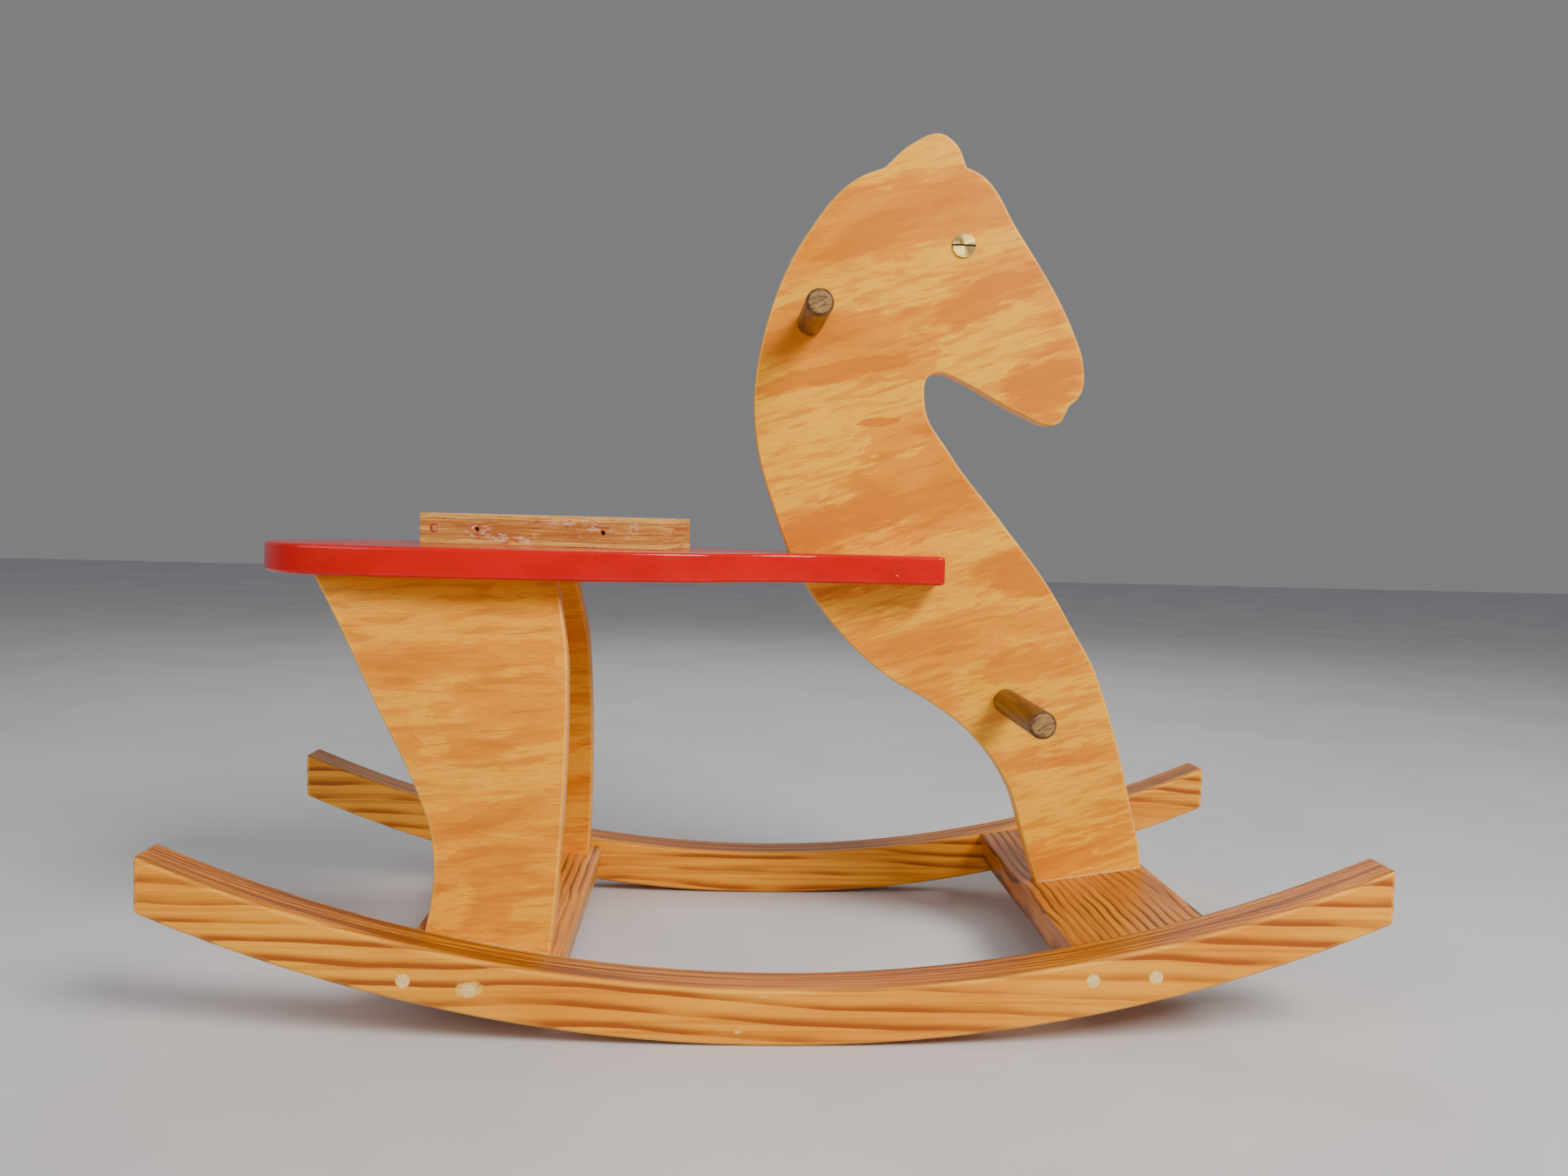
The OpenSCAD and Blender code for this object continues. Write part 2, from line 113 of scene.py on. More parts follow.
class Graph:
    """One procedural material while it is being laid out."""

    def __init__(self, name: str) -> None:
        """Start a material with an empty principled shader.

        Args:
            name: The material's name.
        """
        self.material = bpy.data.materials.new(name)
        self.material.use_nodes = True
        self.tree = self.material.node_tree
        self.shader = self.tree.nodes["Principled BSDF"]
        place = self.tree.nodes.new("ShaderNodeTexCoord")
        self.place: Socket = place.outputs["Object"]
        self.facing: Socket = place.outputs["Normal"]

    def feed(self, socket: Socket, value: object) -> None:
        """Set or link one input.

        Args:
            socket: The input.
            value: A plain value to set, or an output to link.
        """
        if isinstance(value, bpy.types.NodeSocket):
            self.tree.links.new(value, socket)
        else:
            socket.default_value = value

    def math(self, operation: str, first: Value, second: Value = 0.0, clamp: bool = False) -> Socket:
        """Add one Math node.

        Args:
            operation: Blender's name for the operation.
            first: The first input.
            second: The second input, where the operation has one.
            clamp: True to keep the result between 0 and 1.

        Returns:
            The node's result.
        """
        node = self.tree.nodes.new("ShaderNodeMath")
        node.operation = operation
        node.use_clamp = clamp
        self.feed(node.inputs[0], first)
        self.feed(node.inputs[1], second)
        return node.outputs[0]

    def total(self, *terms: Value) -> Socket:
        """Add several values up.

        Args:
            terms: The values.

        Returns:
            Their sum.
        """
        result = terms[0]
        for term in terms[1:]:
            result = self.math("ADD", result, term)
        return result

    def spread(self, value: Socket, base: float, span: float) -> Socket:
        """Turn a value from 0 to 1 into one that starts at a base and runs over a span."""
        return self.math("ADD", base, self.math("MULTIPLY", value, span))

    def weighed(self, *terms: tuple[Socket, float]) -> Socket:
        """Add values up, each times its weight."""
        return self.total(*(self.math("MULTIPLY", value, weight) for value, weight in terms))

    def swing(self, value: Socket, amount: float) -> Socket:
        """Turn a value from 0 to 1 into one from minus to plus half of the amount."""
        return self.math("MULTIPLY", self.math("SUBTRACT", value, 0.5), amount)

    def laid(self, size: Triple, rise: float = 0.0, centre: Triple = (0, 0, 0),
             lean: float = 0.0) -> Socket:
        """Measure the place in units of a figure that is laid on the piece.

        Args:
            size: The figure's length along each axis, in metres.
            rise: How far the grain rises towards the head, in degrees.
            centre: The middle of the figure.
            lean: How far the piece leans sideways, in degrees.

        Returns:
            The place, in those units.
        """
        node = self.tree.nodes.new("ShaderNodeMapping")
        node.vector_type = "TEXTURE"
        self.feed(node.inputs["Vector"], self.place)
        node.inputs["Location"].default_value = centre
        node.inputs["Rotation"].default_value = (math.radians(lean), -math.radians(rise), 0)
        node.inputs["Scale"].default_value = size
        return node.outputs[0]

    def noise(self, place: Socket, detail: float = 2.0, rough: float = 0.5, warp: float = 0.0) -> Socket:
        """Add a noise figure one unit in size.

        Args:
            place: Where to look, from laid().
            detail: How many finer layers it has.
            rough: How strong those are.
            warp: How far it is pulled about.

        Returns:
            A value near 0.5.
        """
        node = self.tree.nodes.new("ShaderNodeTexNoise")
        self.feed(node.inputs["Vector"], place)
        node.inputs["Scale"].default_value = 1.0
        node.inputs["Detail"].default_value = detail
        node.inputs["Roughness"].default_value = rough
        node.inputs["Distortion"].default_value = warp
        return node.outputs["Fac"]

    def fade(self, value: Socket, start: float, end: float) -> Socket:
        """Go smoothly from 0 to 1 between two values.

        Args:
            value: What is looked at.
            start: Where it is 0.
            end: Where it is 1; it may be the lower of the two.

        Returns:
            A value from 0 to 1.
        """
        node = self.tree.nodes.new("ShaderNodeMapRange")
        node.interpolation_type = "SMOOTHSTEP"
        self.feed(node.inputs["Value"], value)
        node.inputs["From Min"].default_value = start
        node.inputs["From Max"].default_value = end
        return node.outputs["Result"]

    def blend(self, share: Value, first: object, second: object, mode: str = "MIX") -> Socket:
        """Mix two colours.

        Args:
            share: How much of the second there is.
            first: A colour or a socket.
            second: A colour or a socket.
            mode: How they mix.

        Returns:
            The mixed colour.
        """
        node = self.tree.nodes.new("ShaderNodeMix")
        node.data_type = "RGBA"
        node.blend_type = mode
        self.feed(node.inputs[0], share)
        for socket, colour in ((node.inputs[6], first), (node.inputs[7], second)):
            self.feed(socket, (*colour, 1.0) if isinstance(colour, tuple) else colour)
        return node.outputs[2]

    def glaze(self, mask: Socket, strength: float, under: object, over: object) -> Socket:
        """Lay one colour over another where a mask says so.

        Args:
            mask: Where it goes, from 0 to 1.
            strength: How much of it there is where the mask is 1.
            under: The colour below.
            over: The colour that is laid on.

        Returns:
            The glazed colour.
        """
        return self.blend(self.math("MULTIPLY", mask, strength), under, over)

    def axis(self, vector: Socket, index: int) -> Socket:
        """Take one component of a vector.

        Args:
            vector: The vector.
            index: 0, 1 or 2, for X, Y or Z.

        Returns:
            The component.
        """
        node = self.tree.nodes.new("ShaderNodeSeparateXYZ")
        self.feed(node.inputs[0], vector)
        return node.outputs[index]

    def along(self, vector: Socket, direction: Triple) -> Socket:
        """Measure a vector along a direction.

        Args:
            vector: The vector.
            direction: The direction, whose length scales the result.

        Returns:
            The distance along it.
        """
        node = self.tree.nodes.new("ShaderNodeVectorMath")
        node.operation = "DOT_PRODUCT"
        self.feed(node.inputs[0], vector)
        node.inputs[1].default_value = direction
        return node.outputs["Value"]

    def flat_distance(self, place: Socket, ignored: int) -> Socket:
        """Measure the distance from the middle of a figure, leaving one axis out.

        Args:
            place: The place in the figure, from laid().
            ignored: The axis that doesn't count.

        Returns:
            The distance, in the figure's units.
        """
        keep = [1.0, 1.0, 1.0]
        keep[ignored] = 0.0
        drop = self.tree.nodes.new("ShaderNodeVectorMath")
        drop.operation = "MULTIPLY"
        self.feed(drop.inputs[0], place)
        drop.inputs[1].default_value = keep
        size = self.tree.nodes.new("ShaderNodeVectorMath")
        size.operation = "LENGTH"
        self.feed(size.inputs[0], drop.outputs[0])
        return size.outputs["Value"]

    def rounded_edge(self) -> Socket:
        """Read where the edges are rounded.

        Returns:
            1 on a rounded edge, and 0 elsewhere.
        """
        node = self.tree.nodes.new("ShaderNodeAttribute")
        node.attribute_name = ROUNDED_EDGE
        return node.outputs["Fac"]

    def bump(self, height: Socket, depth: float) -> None:
        """Raise the surface by a height from 0 to 1.

        Args:
            height: The relief.
            depth: How high it stands, in metres.
        """
        node = self.tree.nodes.new("ShaderNodeBump")
        node.inputs["Strength"].default_value = 1.0
        node.inputs["Distance"].default_value = depth
        self.feed(node.inputs["Height"], height)
        self.feed(self.shader.inputs["Normal"], node.outputs[0])

    def deepened(self, colour: Socket, amount: float) -> Socket:
        """Deepen a colour as oil and varnish do, which pass its light twice.

        Args:
            colour: The bare colour.
            amount: 1 leaves it as it is, and more makes it richer.

        Returns:
            The varnished colour.
        """
        node = self.tree.nodes.new("ShaderNodeGamma")
        self.feed(node.inputs["Color"], colour)
        node.inputs["Gamma"].default_value = amount
        return node.outputs[0]

    def surface(self, colour: Socket, rough: Value, coat: float = 0.0, metal: Value = 0.0,
                gloss: float = 0.3) -> None:
        """Set the shader's own values.

        Args:
            colour: The base colour.
            rough: The roughness.
            coat: The weight of the clear coat.
            metal: 1 for metal.
            gloss: How strongly a clear surface reflects; 0.5 is plain glass.
        """
        self.shader.inputs["Specular IOR Level"].default_value = gloss
        self.feed(self.shader.inputs["Base Color"], colour)
        self.feed(self.shader.inputs["Roughness"], rough)
        self.feed(self.shader.inputs["Metallic"], metal)
        self.shader.inputs["Coat Weight"].default_value = coat
        self.shader.inputs["Coat Roughness"].default_value = COAT_ROUGHNESS


@dataclass(frozen=True)
class Patch:
    """A dark or light zone in the veneer: its middle, half sizes, rise and depth of tone."""

    x: float
    z: float
    reach: float
    breadth: float
    rise: float
    depth: float


@dataclass(frozen=True)
class Veneer:
    """Varnished rotary-cut plywood: broad jagged zones, fine streaks, and layers on its edges.

    Past the threshold its tone is dark. The triples are the sizes of its figures, in metres.
    """

    name: str
    light: Colour
    dark: Colour
    deep: Colour
    rise: float
    patches: tuple[Patch, ...]
    lean: float = 0.0
    threshold: float = 0.5
    ply: float = 2.6 * MM
    broad: Triple = (0.150, 0.150, 0.040)
    jag: Triple = (0.022, 0.022, 0.0032)
    tear: Triple = (0.034, 0.034, 0.011)
    ripple: Triple = (0.060, 0.060, 0.0075)
    fibre: Triple = (0.0130, 0.0130, 0.00062)
    sawn: Triple = (0.0011, 0.0011, 0.0011)
    smear: Triple = (0.045, 0.045, 0.045)
    relief: float = 0.22 * MM

    def zones(self, g: Graph) -> Socket:
        """Lay out how dark the veneer is from place to place.

        Args:
            g: The material.

        Returns:
            The tone, near 0.5.
        """
        jagged = g.noise(g.laid(self.jag, self.rise), 3, 0.6)
        torn = g.noise(g.laid(self.tear, self.rise, (0.1, 0.2, 0.3)), 2, 0.5)
        tone = g.total(g.noise(g.laid(self.broad, self.rise), 3, 0.55, 0.4), g.swing(jagged, 0.26))
        for patch in self.patches:
            size = (patch.reach * MM, 1.0, patch.breadth * MM)
            place = g.laid(size, patch.rise, (patch.x * MM, 0, patch.z * MM))
            ragged = g.total(g.flat_distance(place, 1), g.swing(jagged, 1.7), g.swing(torn, 1.9))
            inside = g.fade(ragged, 1.16, 0.74)
            tone = g.weighed((tone, 1.0), (inside, patch.depth))
        return tone

    def sawn_edge(self, g: Graph) -> Socket:
        """Colour the cut edges, where the plies show as stripes.

        Args:
            g: The material.

        Returns:
            The edges' colour.
        """
        thickness = g.laid((1.0, self.ply, 1.0), 0.0, (0, 0, 0), self.lean)
        layer = g.math("FRACT", g.spread(g.axis(thickness, 1), 0.25, 0.5))
        stripe = g.fade(g.math("ABSOLUTE", g.math("SUBTRACT", layer, 0.5)), 0.22, 0.28)
        end_grain = g.glaze(g.noise(g.laid(self.sawn), 2, 0.6), 0.6, self.dark, self.deep)
        return g.blend(stripe, self.light, end_grain)

    def build(self) -> bpy.types.Material:
        """Lay out the veneer.

        Returns:
            The material.
        """
        g = Graph(self.name)
        tone = self.zones(g)
        zone = g.fade(tone, self.threshold - 0.025, self.threshold + 0.040)
        richer = g.fade(tone, self.threshold + 0.02, self.threshold + 0.38)
        colour = g.blend(zone, self.light, self.dark)
        colour = g.glaze(richer, 0.75, colour, self.deep)
        ripple = g.noise(g.laid(self.ripple, self.rise), 4, 0.6, 0.6)
        colour = g.blend(g.fade(ripple, 0.46, 0.66), colour, g.blend(0.60, colour, self.deep))
        fibre = g.noise(g.laid(self.fibre, self.rise), 3, 0.65)
        colour = g.glaze(g.fade(fibre, 0.50, 0.70), 0.55, colour, self.deep)
        broadside = (0, math.cos(math.radians(self.lean)), math.sin(math.radians(self.lean)))
        faced = g.math("ABSOLUTE", g.along(g.facing, broadside))
        colour = g.blend(g.fade(faced, 0.62, 0.42), colour, self.sawn_edge(g))
        # Painted highlight: the rounded edges are lightened as if catching the light, partly also the paler
        # sanded wood there.
        colour = g.glaze(g.rounded_edge(), 0.32, colour, tint(255, 222, 140))
        smear = g.noise(g.laid(self.smear), 3, 0.6)
        g.surface(g.deepened(colour, VARNISH), g.spread(smear, 0.26, 0.22), coat=0.10)
        g.bump(g.weighed((fibre, 0.6), (smear, 0.4)), self.relief)
        return g.material


@dataclass(frozen=True)
class Smear:
    """Filler rubbed past the rim of a plug: where, and how far it reaches."""

    x: float
    z: float
    reach: float
    breadth: float


@dataclass(frozen=True)
class RingPine:
    """Varnished pine with growth rings that cut every face of the board as they really would.

    The pairs are the sizes of its figures with the grain and across it, in metres.
    """

    name: str
    run: Run
    light: Colour
    dark: Colour
    late: Colour
    spacing: float
    steepness: float
    warp: float
    top_shade: float = 0.0
    smears: tuple[Smear, ...] = ()
    bend: float = 240 * MM
    drift: float = 12 * MM
    ripple: Pair = (0.055, 0.018)
    strength: Pair = (0.130, 0.030)
    cloud: Pair = (0.200, 0.050)
    stray: Pair = (0.300, 0.0034)
    fibre: Pair = (0.030, 0.0006)
    edge_line: Triple = (0.300, 0.0046, 1.0)
    scuff: Triple = (0.030, 0.030, 0.030)
    relief: float = 0.25 * MM

    def stretched(self, length: float, width: float) -> Triple:
        """A size that is long with the grain and narrow across it."""
        return (length, width, width) if self.run is Run.LENGTHWISE else (width, length, width)

    def late_bands(self, g: Graph) -> Socket:
        """Lay out the dark late wood, sharp on one side of each ring and fading on the other.

        Args:
            g: The material.

        Returns:
            How much late wood there is, from 0 to 1.
        """
        slope = math.radians(self.steepness)
        across = math.cos(slope) / self.spacing
        upwards = math.sin(slope) / self.spacing
        drift = self.drift / self.spacing
        lengthwise = self.run is Run.LENGTHWISE
        direction = (drift, across, upwards) if lengthwise else (across, drift, upwards)
        wave = g.noise(g.laid(self.stretched(self.bend, 0.090)), 2, 0.45)
        ripple = g.noise(g.laid(self.stretched(*self.ripple)), 2, 0.5)
        ring = g.total(g.along(g.place, direction), g.swing(wave, self.warp),
                       g.swing(ripple, self.warp * 0.07))
        phase = g.math("FRACT", ring)
        band = g.math("POWER", g.fade(phase, 0.66, 0.10), 1.6)
        band = g.math("MULTIPLY", band, g.fade(phase, 0.0, 0.06))
        strength = g.noise(g.laid(self.stretched(*self.strength), centre=(0.3, 0.2, 0.1)), 2, 0.5)
        share = g.math("ADD", 0.22, g.fade(strength, 0.34, 0.62))
        return g.math("MULTIPLY", band, share, clamp=True)

    def top_lines(self, g: Graph, colour: Socket) -> Socket:
        """Darken the upward faces as painted shade, and draw lines on them that follow the runner's curve.

        Args:
            g: The material.
            colour: The colour so far.

        Returns:
            The colour with the top faces done.
        """
        # Painted shade: faces that look upwards are darkened towards the late wood.
        upright = g.fade(g.axis(g.facing, 2), 0.60, 0.85)
        colour = g.glaze(upright, self.top_shade, colour, self.late)
        edge_line = g.noise(g.laid(self.edge_line, centre=(0.2, 0.03, 0.1)), 2, 0.5)
        drawn = g.math("MULTIPLY", g.fade(edge_line, 0.45, 0.60), upright)
        return g.glaze(drawn, 0.65, colour, tint(142, 92, 36))

    def build(self) -> bpy.types.Material:
        """Lay out the pine.

        Returns:
            The material.
        """
        g = Graph(self.name)
        band = self.late_bands(g)
        cloud = g.noise(g.laid(self.stretched(*self.cloud)), 3, 0.55)
        colour = g.blend(g.fade(cloud, 0.38, 0.68), self.light, self.dark)
        colour = g.blend(band, colour, self.late)
        stray = g.noise(g.laid(self.stretched(*self.stray), centre=(0.1, 0.4, 0.2)), 2, 0.5)
        colour = g.glaze(g.fade(stray, 0.50, 0.64), 0.32, colour, self.late)
        fibre = g.noise(g.laid(self.stretched(*self.fibre)), 3, 0.6)
        colour = g.glaze(g.fade(fibre, 0.5, 0.8), 0.30, colour, self.late)
        if self.top_shade:
            colour = self.top_lines(g, colour)
        for smear in self.smears:
            size = (smear.reach * MM, 1.0, smear.breadth * MM)
            spot = g.flat_distance(g.laid(size, 0.0, (smear.x * MM, 0, smear.z * MM)), 1)
            ragged = g.math("ADD", spot, g.swing(g.noise(g.laid((0.004, 0.004, 0.003)), 2), 0.9))
            colour = g.glaze(g.fade(ragged, 1.05, 0.85), 0.8, colour, tint(250, 214, 140))
        # Painted highlight: the rounded edges are lightened as if catching the light, partly also the paler
        # sanded wood there.
        colour = g.glaze(g.rounded_edge(), 0.20, colour, tint(255, 214, 132))
        scuff = g.noise(g.laid(self.scuff), 3, 0.6)
        g.surface(g.deepened(colour, VARNISH), g.spread(scuff, 0.30, 0.22), coat=0.08)
        g.bump(g.weighed((band, 0.5), (fibre, 0.5)), self.relief)
        return g.material


@dataclass(frozen=True)
class Lacquer:
    """Thick gloss paint, brushed on: faint brush waves, and rounded edges lightened pink, partly where the
    paint drew sparse and partly as painted highlight.
    """

    name: str
    paint: Colour
    shade: Colour
    thin_paint_and_sheen: Colour
    cloud: Triple = (0.070, 0.040, 0.040)
    brush: Triple = (0.060, 0.0028, 0.0028)
    chip: Triple = (0.006, 0.006, 0.003)
    dust: Triple = (0.025, 0.012, 0.012)
    relief: float = 0.28 * MM

    def build(self) -> bpy.types.Material:
        """Lay out the paint.

        Returns:
            The material.
        """
        g = Graph(self.name)
        cloud = g.noise(g.laid(self.cloud), 3, 0.55)
        colour = g.blend(g.fade(cloud, 0.35, 0.75), self.paint, self.shade)
        brush = g.noise(g.laid(self.brush), 3, 0.6)
        chip = g.noise(g.laid(self.chip), 3, 0.65)
        # Lightens the rounded edges towards pink: partly paint that drew sparse, partly painted highlight.
        rubbed = g.math("MULTIPLY", g.rounded_edge(), g.fade(chip, 0.52, 0.72))
        colour = g.glaze(rubbed, 0.35, colour, self.thin_paint_and_sheen)
        dust = g.noise(g.laid(self.dust), 4, 0.65)
        g.surface(colour, g.spread(dust, 0.10, 0.12), coat=0.15)
        g.bump(g.weighed((brush, 0.7), (dust, 0.3)), self.relief)
        return g.material


@dataclass(frozen=True)
class StainedDowel:
    """Dark stained hardwood rod whose grain runs across the horse, with open end grain."""

    name: str
    light: Colour
    dark: Colour
    end: Colour
    streak: Triple = (0.0040, 0.070, 0.0040)
    pore: Triple = (0.0005, 0.011, 0.0005)
    ring: Triple = (0.0110, 0.0110, 0.0021)
    speck: Triple = (0.0006, 0.0006, 0.0006)
    relief: float = 0.20 * MM

    def build(self) -> bpy.types.Material:
        """Lay out the hardwood.

        Returns:
            The material.
        """
        g = Graph(self.name)
        streak = g.noise(g.laid(self.streak), 3, 0.6, 0.3)
        colour = g.blend(g.fade(streak, 0.36, 0.66), self.light, self.dark)
        pore = g.noise(g.laid(self.pore), 2, 0.6)
        colour = g.glaze(g.fade(pore, 0.58, 0.72), 0.6, colour, tint(48, 28, 16))
        ring = g.noise(g.laid(self.ring, 24.0), 3, 0.6, 0.7)
        speck = g.noise(g.laid(self.speck), 2, 0.6)
        grain = g.fade(g.total(ring, g.swing(speck, 0.7)), 0.44, 0.66)
        ends = g.fade(g.math("ABSOLUTE", g.axis(g.facing, 1)), 0.75, 0.92)
        colour = g.blend(ends, colour, g.blend(grain, self.end, self.dark))
        g.surface(colour, g.spread(streak, 0.36, 0.2), coat=0.12)
        g.bump(pore, self.relief)
        return g.material


@dataclass(frozen=True)
class RawPly:
    """Bare sawn plywood with old red and white paint dragged across it.

    Each dab of paint is a place along the horse and a height, then its half sizes, in millimetres.
    """

    name: str
    light: Colour
    dark: Colour
    base: float
    ply: float = 5.2 * MM
    middle_ply: float = 2.5
    seam_ply: float = 1.55
    sway: Triple = (0.050, 0.050, 0.010)
    fibre: Triple = (0.026, 0.026, 0.0009)
    streak: Triple = (0.070, 0.070, 0.0030)
    split: Triple = (0.022, 0.022, 0.0007)
    grain: Triple = (0.060, 0.0016, 0.060)
    red: Triple = (0.012, 0.012, 0.0034)
    white: Triple = (0.007, 0.007, 0.0022)
    relief: float = 0.45 * MM
    dabs: tuple[tuple[float, float, float, float], ...] = (
        (-252, 360, 16, 9), (-186, 370, 30, 5), (-146, 366, 12, 6), (-120, 366, 8, 5), (-226, 354, 20, 5))

    def spatters(self, g: Graph) -> tuple[Socket, Socket]:
        """Lay out where old paint sticks.

        Args:
            g: The material.

        Returns:
            The red and the white paint, thick where the value is high.
        """
        red = g.noise(g.laid(self.red, centre=(0.02, 0.01, 0.347)), 5, 0.72, 0.5)
        white = g.noise(g.laid(self.white, centre=(0.4, 0.3, 0.2)), 5, 0.74, 0.5)
        for x, z, reach, breadth in self.dabs:
            place = g.laid((reach * MM, 1.0, breadth * MM), 0.0, (x * MM, 0, z * MM))
            near = g.fade(g.flat_distance(place, 1), 1.4, 0.3)
            red = g.weighed((red, 1.0), (near, 0.11))
            white = g.weighed((white, 1.0), (near, 0.10))
        return red, white

    def build(self) -> bpy.types.Material:
        """Lay out the bare ply.

        Returns:
            The material.
        """
        g = Graph(self.name)
        height = g.axis(g.laid((1.0, 1.0, self.ply), centre=(0, 0, self.base)), 2)
        off_middle = g.math("ABSOLUTE", g.math("SUBTRACT", height, self.middle_ply))
        off_middle = g.math("ADD", off_middle, g.swing(g.noise(g.laid(self.sway), 2, 0.5), 0.6))
        stripe = g.fade(off_middle, 1.65, 1.10)
        seam = g.fade(g.math("ABSOLUTE", g.math("SUBTRACT", off_middle, self.seam_ply)), 0.14, 0.05)
        fibre = g.noise(g.laid(self.fibre), 4, 0.65)
        streak = g.noise(g.laid(self.streak, centre=(0.3, 0.1, 0.4)), 3, 0.6)
        colour = g.blend(g.math("MULTIPLY", stripe, g.fade(streak, 0.30, 0.60)), self.light, self.dark)
        colour = g.glaze(seam, 0.55, colour, tint(132, 80, 38))
        colour = g.glaze(g.fade(fibre, 0.42, 0.70), 0.65, colour, tint(152, 94, 42))
        split = g.noise(g.laid(self.split, centre=(0.5, 0.1, 0.2)), 2, 0.5)
        colour = g.blend(g.fade(split, 0.70, 0.76), colour, tint(58, 34, 20))
        grain = g.noise(g.laid(self.grain), 3, 0.6)
        face = g.blend(g.fade(grain, 0.40, 0.66), self.light, self.dark)
        lying = g.fade(g.math("ABSOLUTE", g.axis(g.facing, 2)), 0.6, 0.8)
        colour = g.blend(lying, colour, face)
        red, white = self.spatters(g)
        colour = g.glaze(g.fade(red, 0.60, 0.70), 0.62, colour, tint(196, 70, 48))
        colour = g.glaze(g.fade(white, 0.63, 0.66), 0.85, colour, tint(246, 220, 200))
        g.surface(g.deepened(colour, BARE_WOOD), g.spread(fibre, 0.58, 0.25))
        g.bump(g.weighed((fibre, 0.6), (stripe, 0.2), (red, 1.0)), self.relief)
        return g.material


@dataclass(frozen=True)
class Speckled:
    """A small plain stuff, such as filler, glue or zinc, with a fine mottled surface."""

    name: str
    light: Colour
    dark: Colour
    grain: float
    rough: float
    metal: float = 0.0
    coat: float = 0.0
    relief: float = 0.12 * MM

    def build(self) -> bpy.types.Material:
        """Lay out the mottling.

        Returns:
            The material.
        """
        g = Graph(self.name)
        mottle = g.noise(g.laid((self.grain, self.grain, self.grain)), 4, 0.6)
        colour = g.blend(g.fade(mottle, 0.35, 0.68), self.light, self.dark)
        rough = g.math("ADD", self.rough, g.swing(mottle, 0.2))
        g.surface(colour, rough, self.coat, self.metal)
        g.bump(mottle, self.relief)
        return g.material


@dataclass(frozen=True)
class TurnedBrass:
    """Brass faced on a lathe, with fine rings about its middle and a slot painted near-black, partly grime
    and partly painted shade.
    """

    name: str
    middle: Triple
    ring: float = 0.45 * MM
    slot_half: float = 0.85 * MM
    relief: float = 0.08 * MM

    def build(self) -> bpy.types.Material:
        """Lay out the brass.

        Returns:
            The material.
        """
        g = Graph(self.name)
        distance = g.flat_distance(g.laid((self.ring, 1.0, self.ring), 0.0, self.middle), 1)
        groove = g.math("SINE", g.math("MULTIPLY", distance, math.tau))
        tarnish = g.noise(g.laid((0.004, 0.004, 0.004)), 4, 0.6)
        colour = g.blend(g.fade(tarnish, 0.40, 0.75), tint(226, 196, 118), tint(158, 122, 58))
        colour = g.glaze(g.fade(groove, 0.2, 1.0), 0.25, colour, tint(140, 106, 48))
        # The slot is painted near-black and not metal: partly grime, partly painted shade in the recess.
        height = g.axis(g.laid((1.0, 1.0, self.slot_half), 0.0, self.middle), 2)
        slot_grime_and_shade = g.fade(g.math("ABSOLUTE", height), 1.0, 0.9)
        colour = g.blend(slot_grime_and_shade, colour, tint(44, 30, 16))
        rough = g.total(0.22, g.weighed((tarnish, 0.22), (slot_grime_and_shade, 0.4)))
        g.surface(colour, rough, metal=g.math("SUBTRACT", 1.0, slot_grime_and_shade))
        g.bump(g.spread(groove, 0.5, 0.4), self.relief)
        return g.material


@dataclass(frozen=True)
class StainedPlug:
    """A wooden plug in a hole whose rim kept a ring of old red paint."""

    name: str
    middle: Triple
    radius: float
    relief: float = 0.16 * MM

    def build(self) -> bpy.types.Material:
        """Lay out the plug.

        Returns:
            The material.
        """
        g = Graph(self.name)
        distance = g.flat_distance(g.laid((self.radius, 1.0, self.radius), 0.0, self.middle), 1)
        mottle = g.noise(g.laid((0.0018, 0.0018, 0.0012)), 4, 0.6)
        wood = g.blend(g.fade(mottle, 0.35, 0.68), tint(222, 158, 100), tint(176, 108, 64))
        rim = g.fade(g.math("ADD", distance, g.swing(mottle, 0.5)), 0.55, 0.74)
        g.surface(g.blend(rim, wood, tint(168, 52, 36)), g.math("ADD", 0.5, g.swing(mottle, 0.2)))
        g.bump(mottle, self.relief)
        return g.material


# --- Working the wood ---------------------------------------------------------------------


@dataclass(frozen=True)
class Rounding:
    """How the edges of a piece are eased: radius, steps, and which edges count as edges."""

    radius: float
    steps: int = 4
    sharpest: float = math.radians(50)
    least_run: float = 0.2


def leave_none(edge: bmesh.types.BMEdge) -> bool:
    """Leave no edge as it is."""
    return False


def long_runs(edges: list[bmesh.types.BMEdge], least: float) -> list[bmesh.types.BMEdge]:
    """Keep the edges that join up into long runs, so the rims of bores are left out.

    Args:
        edges: The edges to sort.
        least: The shortest run that stays, in metres.

    Returns:
        The edges of the long runs.
    """
    waiting = set(edges)
    kept = []
    for first in edges:
        if first not in waiting:
            continue
        waiting.remove(first)
        run = [first]
        for edge in run:
            for vertex in edge.verts:
                nearby = [other for other in vertex.link_edges if other in waiting]
                waiting.difference_update(nearby)
                run.extend(nearby)
        if sum(edge.calc_length() for edge in run) >= least:
            kept.extend(run)
    return kept


def shown(name: str, bm: bmesh.types.BMesh, sharp: float = math.radians(35)) -> bpy.types.Object:
    """Make a finished mesh a smooth-shaded object that keeps its hard edges.

    Args:
        name: The object's name.
        bm: The mesh, which is used up.
        sharp: The angle past which an edge stays hard.

    Returns:
        The object, at the origin.
    """
    for edge in bm.edges:
        edge.smooth = len(edge.link_faces) == 2 and edge.calc_face_angle(0.0) < sharp
    for face in bm.faces:
        face.smooth = True
    mesh = bpy.data.meshes.new(name)
    bm.to_mesh(mesh)
    bm.free()
    piece = bpy.data.objects.new(name, mesh)
    bpy.context.scene.collection.objects.link(piece)
    even = piece.modifiers.new("even_shading", "WEIGHTED_NORMAL")
    even.keep_sharp = True
    return piece


